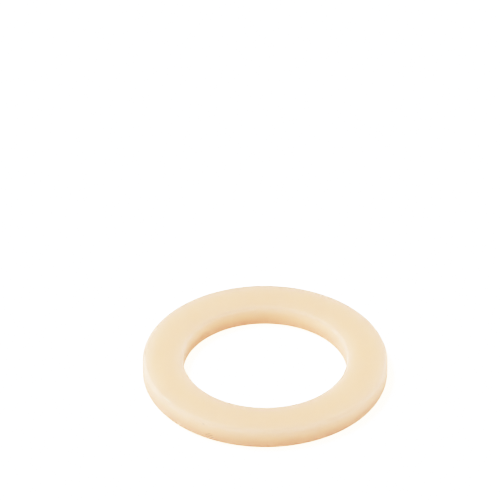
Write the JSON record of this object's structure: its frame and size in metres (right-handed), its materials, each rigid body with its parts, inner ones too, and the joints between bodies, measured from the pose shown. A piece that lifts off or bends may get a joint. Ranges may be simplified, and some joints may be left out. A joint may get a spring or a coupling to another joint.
{
  "type": "plastic sealing washer",
  "caption": "Flat ring washer of cream translucent plastic with softly rounded edges, clamped between flat faces to seal a screwed joint.",
  "frame": {"origin": "centre of the lower sealing face", "axes": "+Z along the axis of the ring, from the lower sealing face to the upper one"},
  "size_m": [0.024, 0.024, 0.0021],
  "materials": {
    "cream_nylon": "natural cream nylon, slightly translucent, with a soft satin sheen"
  },
  "bodies": {
    "root": {"washer": "cream_nylon"}
  },
  "joints": []
}
